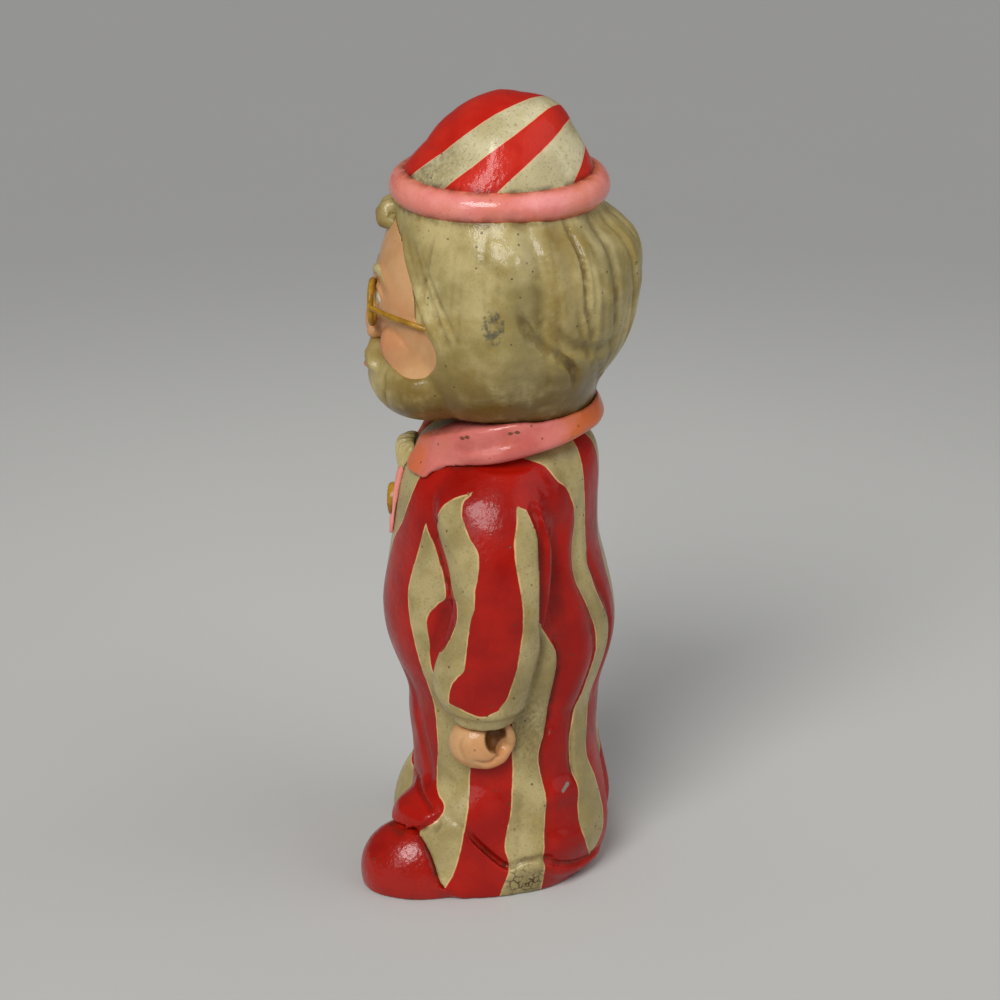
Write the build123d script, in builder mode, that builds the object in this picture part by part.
from build123d import *
from math import sqrt
import os

os.makedirs("parts", exist_ok=True)

# Hollow plaster figure of an old man in a striped suit and a rolled cap. Millimetres.
# The floor is z = 0, the figure faces -Y and its left hand is towards +X.

# Suit levels, each measured up from the one below
flare_height = 18.0
knee_rise = 14.0
waist_rise = 14.0
hip_rise = 14.0
belly_rise = 17.0
rib_rise = 18.0
chest_rise = 17.0
shoulder_rise = 9.0
neck_seat_rise = 5.5

# Suit sections: full width, reach to the front and reach to the back
floor_width = 60.0
floor_front = 25.0
floor_back = 25.0
flare_width = 62.0
flare_front = 26.0
flare_back = 30.0
knee_width = 59.0
knee_front = 25.6
knee_back = 26.9
waist_width = 58.0
waist_front = 27.6
waist_back = 27.1
hip_width = 60.0
hip_front = 29.9
hip_back = 28.2
belly_width = 62.0
belly_front = 33.3
belly_back = 29.8
rib_width = 60.0
rib_front = 30.6
rib_back = 25.9
chest_width = 56.0
chest_front = 28.0
chest_back = 25.2
shoulder_width = 47.0
shoulder_front = 24.0
shoulder_back = 24.5
neck_seat_width = 32.0
neck_seat_front = 14.5
neck_seat_back = 17.5

# Hollow of the casting and the grooves between the legs
wall = 7.0
hollow_top_drop = 4.0
hollow_top_width = 30.0
front_groove_depth = 6.0
back_groove_depth = 4.0
groove_width = 10.0
groove_top_drop = 3.0
groove_end_depth = 0.4

# Trouser hems. The left foot is forward and shows its shoe under a hem raised in front.
# The right hem reaches the floor in front and is raised over the shoe on its outer side.
hem_rise = 32.0
hem_top_width = 22.0
hem_top_depth = 28.0
hem_width = 31.0
hem_depth = 42.0
hem_spacing = 35.0
left_hem_front = 30.0
left_hem_instep = 18.6
right_hem_front = 33.0
right_hem_instep = 8.0
left_mouth_run = 21.5
right_mouth_rise = 16.0
right_mouth_run = 15.0

# Shoes
shoe_width = 26.0
shoe_length = 34.0
shoe_height = 19.0
shoe_belly_height = 4.0
left_toe = 38.4
left_shoe_offset = 22.0
left_splay = 8.0
right_toe = 30.5
right_shoe_offset = 26.0
right_splay = 24.0

# Sleeves: each section's size, its tuck into the side of the torso and its shift to the back
sleeve_cap_width = 14.0
sleeve_cap_depth = 18.0
sleeve_cap_tuck = 4.5
sleeve_cap_shift = 0.5
sleeve_upper_width = 22.0
sleeve_upper_depth = 30.0
sleeve_upper_tuck = 2.0
sleeve_upper_shift = -0.8
sleeve_upper_drop = 6.0
sleeve_elbow_width = 21.0
sleeve_elbow_depth = 26.0
sleeve_elbow_tuck = 0.5
sleeve_elbow_shift = 0.8
sleeve_elbow_rise = 11.0
sleeve_fore_width = 20.0
sleeve_fore_depth = 27.0
sleeve_fore_tuck = 1.0
sleeve_fore_shift = -2.0
sleeve_fore_drop = 4.0
sleeve_end_width = 17.0
sleeve_end_depth = 21.0
sleeve_end_tuck = 0.5
sleeve_end_shift = -3.5
sleeve_end_drop = 20.0

# Cuffs and hands
cuff_height = 5.0
cuff_width = 14.0
cuff_depth = 17.0
hand_width = 13.0
hand_depth = 16.5
hand_length = 14.5
hand_seat = 1.5
palm_radius = 3.6
palm_offset = 3.2

# Neckwear
neck_length = 6.0
neck_radius = 14.0
collar_radius = 24.6
collar_flare = 1.6
collar_thickness = 10.0
collar_height = 10.0
collar_rise = 7.6
collar_shift = 0.8
collar_tilt = 12.5
collar_gap = 18.0
collar_round = 1.8
jabot_width = 15.0
jabot_depth = 10.0
jabot_length = 19.0
jabot_drop = 3.5
jabot_lean = 9.0
jabot_seat = 3.5
ribbon_width = 13.0
ribbon_length = 25.0
ribbon_thickness = 1.3
medallion_diameter = 9.0
medallion_thickness = 3.4
medallion_seat = 1.2
medallion_round = 1.0
medallion_drop = 8.0

# Head levels, each measured up from the one below
jaw_rise = 5.0
lobe_rise = 7.0
cheek_rise = 10.0
temple_rise = 11.0
crown_rise = 10.0
brow_rise = 9.0
cap_seat_rise = 6.0

# Hair sections: full width, reach to the front and reach to the back
nape_width = 34.0
nape_front = 17.0
nape_back = 17.5
jaw_width = 54.0
jaw_front = 25.0
jaw_back = 24.5
lobe_width = 63.0
lobe_front = 27.0
lobe_back = 28.0
cheek_width = 68.5
cheek_front = 27.8
cheek_back = 33.8
temple_width = 70.0
temple_front = 28.0
temple_back = 36.2
crown_width = 69.0
crown_front = 28.3
crown_back = 37.4
brow_width = 60.5
brow_front = 28.5
brow_back = 31.5
cap_seat_width = 55.0
cap_seat_front = 28.5
cap_seat_back = 26.8

# Face, with its features set out from the middle of it
face_width = 46.0
face_depth = 40.0
face_length = 64.0
face_proud = 6.0
face_drop = 3.0
apple_radius = 7.5
apple_spacing = 23.0
apple_drop = 11.0
apple_proud = 2.0
nose_width = 9.0
nose_depth = 8.0
nose_length = 10.0
nose_drop = 8.0
nose_sink = 0.3
eye_radius = 2.6
eye_spacing = 16.0
eye_rise = 0.5
eye_proud = 0.8

# Whiskers and fringe
beard_width = 50.0
beard_depth = 35.0
beard_length = 25.0
beard_proud = 9.4
beard_seat = 9.0
moustache_width = 16.0
moustache_depth = 7.0
moustache_height = 7.0
moustache_spacing = 13.0
moustache_drop = 15.5
moustache_droop = 14.0
moustache_proud = 0.6
fringe_width = 18.0
fringe_depth = 11.0
fringe_height = 12.0
fringe_proud = 5.5
fringe_drop = 1.0

# Spectacles
rim_radius = 5.6
rim_wire = 1.8
arm_wire = 1.4
rim_spacing = 15.0
rim_drop = 1.0
rim_proud = 1.3
arm_spread = 43.0
arm_run = 13.0

# Cap
cap_width = 51.0
cap_height = 25.5
cap_shift = -1.4
cap_wall_height = 3.5
cap_haunch_width = 43.6
cap_haunch_height = 12.0
cap_top_width = 24.0
cap_top_height = 22.6
roll_radius = 24.4
roll_tube = 9.0
roll_lift = 1.5
roll_tilt = 3.0

# Levels worked out from the values above
knee_z = flare_height + knee_rise
waist_z = knee_z + waist_rise
hip_z = waist_z + hip_rise
belly_z = hip_z + belly_rise
rib_z = belly_z + rib_rise
chest_z = rib_z + chest_rise
shoulder_z = chest_z + shoulder_rise
neck_seat_z = shoulder_z + neck_seat_rise
nape_z = neck_seat_z + neck_length
jaw_z = nape_z + jaw_rise
lobe_z = jaw_z + lobe_rise
cheek_z = lobe_z + cheek_rise
temple_z = cheek_z + temple_rise
crown_z = temple_z + crown_rise
brow_z = crown_z + brow_rise
cap_seat_z = brow_z + cap_seat_rise


def stacked(levels):
    # An upright form lofted through ovals: (height, width, front reach, back reach)
    with BuildPart() as form:
        for z, width, front, back in levels:
            with BuildSketch(Plane(origin=(0, (back - front) / 2, z))):
                Ellipse(width / 2, (front + back) / 2)
        loft()
    return form.part


def limb(levels):
    # A form beside the middle plane lofted through ovals: (x, y, z, width, depth)
    with BuildPart() as form:
        for x, y, z, width, depth in levels:
            with BuildSketch(Plane(origin=(x, y, z))):
                Ellipse(width / 2, depth / 2)
        loft()
    return form.part


def ellipsoid(plane, width, depth, height):
    with BuildPart() as ball:
        Sphere(radius=width / 2)
        scale(by=(1, depth / width, height / width))
    with BuildPart(plane) as placed:
        add(ball.part)
    return placed.part


def wedge(surface_y, top_y, depth, outward):
    # A tapering V cut that runs up the suit between the legs and dies out at the waist
    clear = groove_width
    with BuildPart() as cut:
        for z, y, deep in ((0, surface_y, depth), (waist_z - groove_top_drop, top_y, groove_end_depth)):
            half = groove_width / 2 * (deep + clear) / depth
            with BuildSketch(Plane.XY.offset(z)):
                with BuildLine():
                    Polyline(
                        (0, y - outward * deep),
                        (half, y + outward * clear),
                        (-half, y + outward * clear),
                        close=True,
                    )
                make_face()
        loft(ruled=True)
    return cut.part


def write(piece, name):
    # Cutting a form by its neighbours can leave crumbs: the piece is the largest solid
    with BuildPart() as whole:
        add(piece.part.solids().sort_by(SortBy.VOLUME)[-1])
    whole.part.label = name
    export_step(whole.part, f"parts/{name}.step")


waist_section = (waist_z, waist_width, waist_front, waist_back)
torso_levels = [
    waist_section,
    (hip_z, hip_width, hip_front, hip_back),
    (belly_z, belly_width, belly_front, belly_back),
    (rib_z, rib_width, rib_front, rib_back),
    (chest_z, chest_width, chest_front, chest_back),
    (shoulder_z, shoulder_width, shoulder_front, shoulder_back),
    (neck_seat_z, neck_seat_width, neck_seat_front, neck_seat_back),
]
leg_form = stacked([
    (0, floor_width, floor_front, floor_back),
    (flare_height, flare_width, flare_front, flare_back),
    (knee_z, knee_width, knee_front, knee_back),
    waist_section,
])
hollow_top_z = chest_z - hollow_top_drop
hollow_form = stacked([
    (
        0,
        floor_width - 2 * wall,
        floor_front - wall - front_groove_depth,
        floor_back - wall - back_groove_depth,
    ),
    (knee_z, knee_width - 2 * wall, knee_front - wall - groove_end_depth, knee_back - wall),
    (hip_z, hip_width - 2 * wall, hip_front - wall, hip_back - wall),
    (belly_z, belly_width - 2 * wall, belly_front - wall, belly_back - wall),
    (hollow_top_z, hollow_top_width, hollow_top_width / 2, hollow_top_width / 2),
])

# Torso
with BuildPart() as torso:
    add(stacked(torso_levels))
    add(hollow_form, mode=Mode.SUBTRACT)
write(torso, "torso")

# Legs, the two halves of the suit below the waist
front_groove = wedge(-floor_front, -waist_front, front_groove_depth, -1)
back_groove = wedge(floor_back, waist_back, back_groove_depth, 1)
with BuildPart() as left_leg:
    add(leg_form)
    add(hollow_form, mode=Mode.SUBTRACT)
    add(front_groove, mode=Mode.SUBTRACT)
    add(back_groove, mode=Mode.SUBTRACT)
    split(bisect_by=Plane.YZ)
write(left_leg, "left_leg")
with BuildPart() as right_leg:
    mirror(left_leg.part, about=Plane.YZ)
write(right_leg, "right_leg")


def hem_form(x, front, instep, mouth):
    # Bell round the ankle, cut away below the sloping mouth plane to open over the shoe
    y = hem_depth / 2 - front
    bell = limb([
        (x, y, 0, hem_width, hem_depth),
        (x, y, instep, hem_width, hem_depth),
        (x, 0, hem_rise, hem_top_width, hem_top_depth),
    ])
    with BuildPart() as form:
        add(bell)
        split(bisect_by=mouth, keep=Keep.TOP)
    return form.part


def shoe_form(x, toe, splay):
    # Round toe and instep, widest a little above the floor and flat underneath
    middle = Plane(origin=(x, shoe_length / 2 - toe, shoe_belly_height)).rotated((0, 0, splay))
    last = ellipsoid(middle, shoe_width, shoe_length, 2 * (shoe_height - shoe_belly_height))
    with BuildPart() as form:
        add(last)
        split(bisect_by=Plane.XY)
    return form.part


# Hems and shoes
hem_x = hem_spacing / 2
left_mouth = Plane(
    origin=(hem_x, -left_hem_front, left_hem_instep),
    x_dir=(1, 0, 0),
    z_dir=(0, left_hem_instep, left_mouth_run),
)
right_mouth = Plane(
    origin=(-hem_x - hem_width / 2, 0, right_mouth_rise),
    x_dir=(0, 1, 0),
    z_dir=(right_mouth_rise, 0, right_mouth_run),
)
with BuildPart() as left_hem:
    add(hem_form(hem_x, left_hem_front, left_hem_instep, left_mouth))
    add(leg_form, mode=Mode.SUBTRACT)
write(left_hem, "left_hem")
with BuildPart() as right_hem:
    add(hem_form(-hem_x, right_hem_front, right_hem_instep, right_mouth))
    add(leg_form, mode=Mode.SUBTRACT)
write(right_hem, "right_hem")

with BuildPart() as left_shoe:
    add(shoe_form(left_shoe_offset, left_toe, left_splay))
    add(left_hem.part, mode=Mode.SUBTRACT)
    add(leg_form, mode=Mode.SUBTRACT)
write(left_shoe, "left_shoe")
with BuildPart() as right_shoe:
    add(shoe_form(-right_shoe_offset, right_toe, -right_splay))
    add(right_hem.part, mode=Mode.SUBTRACT)
    add(leg_form, mode=Mode.SUBTRACT)
write(right_shoe, "right_shoe")

# Left sleeve, cuff and hand
sleeve_end_z = belly_z - sleeve_end_drop
sleeve_end_x = hip_width / 2 + sleeve_end_tuck
left_sleeve_form = limb([
    (
        shoulder_width / 2 - sleeve_cap_tuck,
        sleeve_cap_shift,
        shoulder_z,
        sleeve_cap_width,
        sleeve_cap_depth,
    ),
    (
        chest_width / 2 - sleeve_upper_tuck,
        sleeve_upper_shift,
        chest_z - sleeve_upper_drop,
        sleeve_upper_width,
        sleeve_upper_depth,
    ),
    (
        rib_width / 2 - sleeve_elbow_tuck,
        sleeve_elbow_shift,
        belly_z + sleeve_elbow_rise,
        sleeve_elbow_width,
        sleeve_elbow_depth,
    ),
    (
        belly_width / 2 - sleeve_fore_tuck,
        sleeve_fore_shift,
        belly_z - sleeve_fore_drop,
        sleeve_fore_width,
        sleeve_fore_depth,
    ),
    (sleeve_end_x, sleeve_end_shift, sleeve_end_z, sleeve_end_width, sleeve_end_depth),
])
suit_form = stacked(torso_levels)
with BuildPart() as left_sleeve:
    add(left_sleeve_form)
    add(suit_form, mode=Mode.SUBTRACT)
write(left_sleeve, "left_sleeve")

cuff_end_z = sleeve_end_z - cuff_height
with BuildPart() as left_cuff:
    with BuildSketch(Plane(origin=(sleeve_end_x, sleeve_end_shift, cuff_end_z))):
        Ellipse(cuff_width / 2, cuff_depth / 2)
    extrude(amount=cuff_height)
    add(suit_form, mode=Mode.SUBTRACT)
write(left_cuff, "left_cuff")

hand_z = cuff_end_z - hand_length / 2 + hand_seat
with BuildPart() as left_hand:
    add(ellipsoid(Plane(origin=(sleeve_end_x, sleeve_end_shift, hand_z)), hand_width, hand_depth, hand_length))
    with Locations((sleeve_end_x + palm_offset, sleeve_end_shift + hand_depth / 2, hand_z)):
        Sphere(radius=palm_radius, mode=Mode.SUBTRACT)
    add(left_cuff.part, mode=Mode.SUBTRACT)
    add(suit_form, mode=Mode.SUBTRACT)
    add(leg_form, mode=Mode.SUBTRACT)
write(left_hand, "left_hand")

# The right arm is the left one's mirror image
for piece, name in ((left_sleeve, "right_sleeve"), (left_cuff, "right_cuff"), (left_hand, "right_hand")):
    with BuildPart() as right_piece:
        mirror(piece.part, about=Plane.YZ)
    write(right_piece, name)

# Neck and head of hair
neck_shift = (neck_seat_back - neck_seat_front) / 2
with BuildPart() as neck:
    with BuildSketch(Plane(origin=(0, neck_shift, neck_seat_z))):
        Circle(neck_radius)
    extrude(amount=neck_length)
write(neck, "neck")

with BuildPart() as hair:
    add(stacked([
        (nape_z, nape_width, nape_front, nape_back),
        (jaw_z, jaw_width, jaw_front, jaw_back),
        (lobe_z, lobe_width, lobe_front, lobe_back),
        (cheek_z, cheek_width, cheek_front, cheek_back),
        (temple_z, temple_width, temple_front, temple_back),
        (crown_z, crown_width, crown_front, crown_back),
        (brow_z, brow_width, brow_front, brow_back),
        (cap_seat_z, cap_seat_width, cap_seat_front, cap_seat_back),
    ]))
write(hair, "hair")

# Beard
beard_front = lobe_front + beard_proud
with BuildPart() as beard:
    beard_plane = Plane(origin=(0, beard_depth / 2 - beard_front, nape_z + beard_seat))
    add(ellipsoid(beard_plane, beard_width, beard_depth, beard_length))
    add(hair.part, mode=Mode.SUBTRACT)
    add(neck.part, mode=Mode.SUBTRACT)
write(beard, "beard")

# Face with rounded cheeks
face_z = temple_z - face_drop
face_y = face_depth / 2 - temple_front - face_proud


def face_front(x, rise):
    # How far forward the face reaches at a point beside and above its middle
    share = 1 - (2 * x / face_width) ** 2 - (2 * rise / face_length) ** 2
    return face_y - face_depth / 2 * sqrt(share)


with BuildPart() as face:
    add(ellipsoid(Plane(origin=(0, face_y, face_z)), face_width, face_depth, face_length))
    for side in (-1, 1):
        apple_y = face_front(apple_spacing / 2, -apple_drop) - apple_proud + apple_radius
        with Locations((side * apple_spacing / 2, apple_y, face_z - apple_drop)):
            Sphere(radius=apple_radius)
    add(hair.part, mode=Mode.SUBTRACT)
    add(beard.part, mode=Mode.SUBTRACT)
    add(neck.part, mode=Mode.SUBTRACT)
write(face, "face")

with BuildPart() as nose:
    nose_y = face_front(0, -nose_drop) + nose_sink
    add(ellipsoid(Plane(origin=(0, nose_y, face_z - nose_drop)), nose_width, nose_depth, nose_length))
    add(face.part, mode=Mode.SUBTRACT)
    add(hair.part, mode=Mode.SUBTRACT)
write(nose, "nose")

for side, name in ((1, "left_eye"), (-1, "right_eye")):
    with BuildPart() as eye:
        eye_y = face_front(eye_spacing / 2, eye_rise) + eye_radius - eye_proud
        with Locations((side * eye_spacing / 2, eye_y, face_z + eye_rise)):
            Sphere(radius=eye_radius)
        add(face.part, mode=Mode.SUBTRACT)
        add(hair.part, mode=Mode.SUBTRACT)
    write(eye, name)

# Moustache, two drooping lobes
with BuildPart() as moustache:
    for side in (-1, 1):
        lobe_middle = (
            side * moustache_spacing / 2,
            moustache_depth / 2 - beard_front - moustache_proud,
            face_z - moustache_drop,
        )
        lobe_plane = Plane(origin=lobe_middle).rotated((0, side * moustache_droop, 0))
        add(ellipsoid(lobe_plane, moustache_width, moustache_depth, moustache_height))
    add(beard.part, mode=Mode.SUBTRACT)
    add(face.part, mode=Mode.SUBTRACT)
    add(nose.part, mode=Mode.SUBTRACT)
write(moustache, "moustache")

# Spectacles: two rims and a bridge cut from one plate, and the arms that run back into the hair
rim_z = face_z - rim_drop
rim_y = face_front(rim_spacing / 2, -rim_drop) - rim_proud
rim_reach = rim_spacing / 2 + rim_radius
rim_middles = ((-rim_spacing / 2, 0), (rim_spacing / 2, 0))
with BuildPart() as spectacles:
    with BuildSketch(Plane(origin=(0, rim_y, rim_z), x_dir=(1, 0, 0), z_dir=(0, -1, 0))):
        with Locations(*rim_middles):
            Circle(rim_radius + rim_wire / 2)
        Rectangle(rim_spacing, arm_wire)
        with Locations(*rim_middles):
            Circle(rim_radius - rim_wire / 2, mode=Mode.SUBTRACT)
    extrude(amount=rim_wire / 2, both=True)
    with BuildSketch(Plane.XY.offset(rim_z)):
        for side in (-1, 1):
            with BuildLine():
                Polyline(
                    (side * (rim_reach - arm_wire / 2), rim_y),
                    (side * (rim_reach + arm_wire / 2), rim_y),
                    (side * (arm_spread + arm_wire) / 2, rim_y + arm_run),
                    (side * (arm_spread - arm_wire) / 2, rim_y + arm_run),
                    close=True,
                )
            make_face()
    extrude(amount=arm_wire / 2, both=True)
    add(face.part, mode=Mode.SUBTRACT)
    add(nose.part, mode=Mode.SUBTRACT)
    add(hair.part, mode=Mode.SUBTRACT)
write(spectacles, "spectacles")

# Cap: the crown stands on the hair and the roll wraps the joint between them
with BuildPart() as cap_crown:
    with BuildSketch(Plane(origin=(0, cap_shift, cap_seat_z), x_dir=(1, 0, 0), z_dir=(0, -1, 0))):
        with BuildLine():
            side_line = Line((cap_width / 2, 0), (cap_width / 2, cap_wall_height))
            dome = Spline(
                side_line @ 1,
                (cap_haunch_width / 2, cap_haunch_height),
                (cap_top_width / 2, cap_top_height),
                (0, cap_height),
                tangents=((-1, 3), (-1, 0)),
                tangent_scalars=(0.5, 1),
            )
            Line((0, cap_height), (0, 0))
            Line((0, 0), (cap_width / 2, 0))
        make_face()
    revolve(axis=Axis((0, cap_shift, 0), (0, 0, 1)))
write(cap_crown, "cap_crown")

# The roll sits a little lower on the left
roll_plane = Plane(origin=(0, cap_shift, cap_seat_z + roll_lift)).rotated((0, roll_tilt, 0))
with BuildPart() as cap_roll:
    with BuildSketch(Plane(roll_plane.origin, x_dir=-roll_plane.y_dir, z_dir=-roll_plane.x_dir)):
        with Locations((roll_radius, 0)):
            Circle(roll_tube / 2)
    revolve(axis=Axis(roll_plane.origin, roll_plane.z_dir))
    add(hair.part, mode=Mode.SUBTRACT)
    add(cap_crown.part, mode=Mode.SUBTRACT)
write(cap_roll, "cap_roll")

with BuildPart() as fringe:
    fringe_middle = (0, fringe_depth / 2 - brow_front - fringe_proud, cap_seat_z - fringe_drop - fringe_height / 2)
    add(ellipsoid(Plane(origin=fringe_middle), fringe_width, fringe_depth, fringe_height))
    add(hair.part, mode=Mode.SUBTRACT)
    add(face.part, mode=Mode.SUBTRACT)
    add(cap_roll.part, mode=Mode.SUBTRACT)
    add(cap_crown.part, mode=Mode.SUBTRACT)
write(fringe, "fringe")

# Collar: a leaning ring, higher behind, open in front
collar_plane = Plane(origin=(0, collar_shift, shoulder_z + collar_rise)).rotated((collar_tilt, 0, 0))
with BuildPart() as collar:
    with BuildSketch(Plane(collar_plane.origin, x_dir=-collar_plane.y_dir, z_dir=-collar_plane.x_dir)):
        with BuildLine():
            Polyline(
                (collar_radius - collar_thickness, -collar_height / 2),
                (collar_radius + collar_flare, -collar_height / 2),
                (collar_radius, collar_height / 2),
                (collar_radius - collar_thickness, collar_height / 2),
                close=True,
            )
        collar_face = make_face()
        fillet(collar_face.vertices().sort_by(Axis.Y)[:2], radius=collar_round)
    revolve(axis=Axis(collar_plane.origin, collar_plane.z_dir))
    with BuildSketch(collar_plane.offset(-collar_radius)):
        with Locations((0, -collar_radius)):
            Rectangle(collar_gap, 2 * collar_radius)
    extrude(amount=2 * collar_radius, mode=Mode.SUBTRACT)
    add(suit_form, mode=Mode.SUBTRACT)
    add(neck.part, mode=Mode.SUBTRACT)
    add(hair.part, mode=Mode.SUBTRACT)
    add(beard.part, mode=Mode.SUBTRACT)
write(collar, "collar")

# Jabot at the throat
jabot_middle = (0, jabot_seat - chest_front, shoulder_z - jabot_drop)
with BuildPart() as jabot:
    add(ellipsoid(Plane(origin=jabot_middle).rotated((jabot_lean, 0, 0)), jabot_width, jabot_depth, jabot_length))
    add(suit_form, mode=Mode.SUBTRACT)
    add(neck.part, mode=Mode.SUBTRACT)
    add(collar.part, mode=Mode.SUBTRACT)
    add(beard.part, mode=Mode.SUBTRACT)
write(jabot, "jabot")

# Ribbon down the chest, a strip of even thickness laid on the suit
raised_levels = []
for z, width, front, back in torso_levels:
    raised_levels.append((z, width + 2 * ribbon_thickness, front + ribbon_thickness, back + ribbon_thickness))
with BuildPart() as ribbon:
    add(stacked(raised_levels))
    with Locations((0, -belly_front, shoulder_z - ribbon_length / 2)):
        Box(ribbon_width, belly_front, ribbon_length, mode=Mode.INTERSECT)
    add(suit_form, mode=Mode.SUBTRACT)
    add(jabot.part, mode=Mode.SUBTRACT)
    add(collar.part, mode=Mode.SUBTRACT)
write(ribbon, "ribbon")

# Medallion on the ribbon
medallion_face = (rib_front + chest_front) / 2 + ribbon_thickness - medallion_seat
with BuildPart() as medallion:
    with BuildSketch(Plane(origin=(0, -medallion_face, chest_z - medallion_drop), z_dir=(0, -1, 0))):
        Circle(medallion_diameter / 2)
    extrude(amount=medallion_thickness)
    fillet(medallion.edges().group_by(Axis.Y)[0], radius=medallion_round)
    add(ribbon.part, mode=Mode.SUBTRACT)
    add(suit_form, mode=Mode.SUBTRACT)
    add(jabot.part, mode=Mode.SUBTRACT)
write(medallion, "medallion")
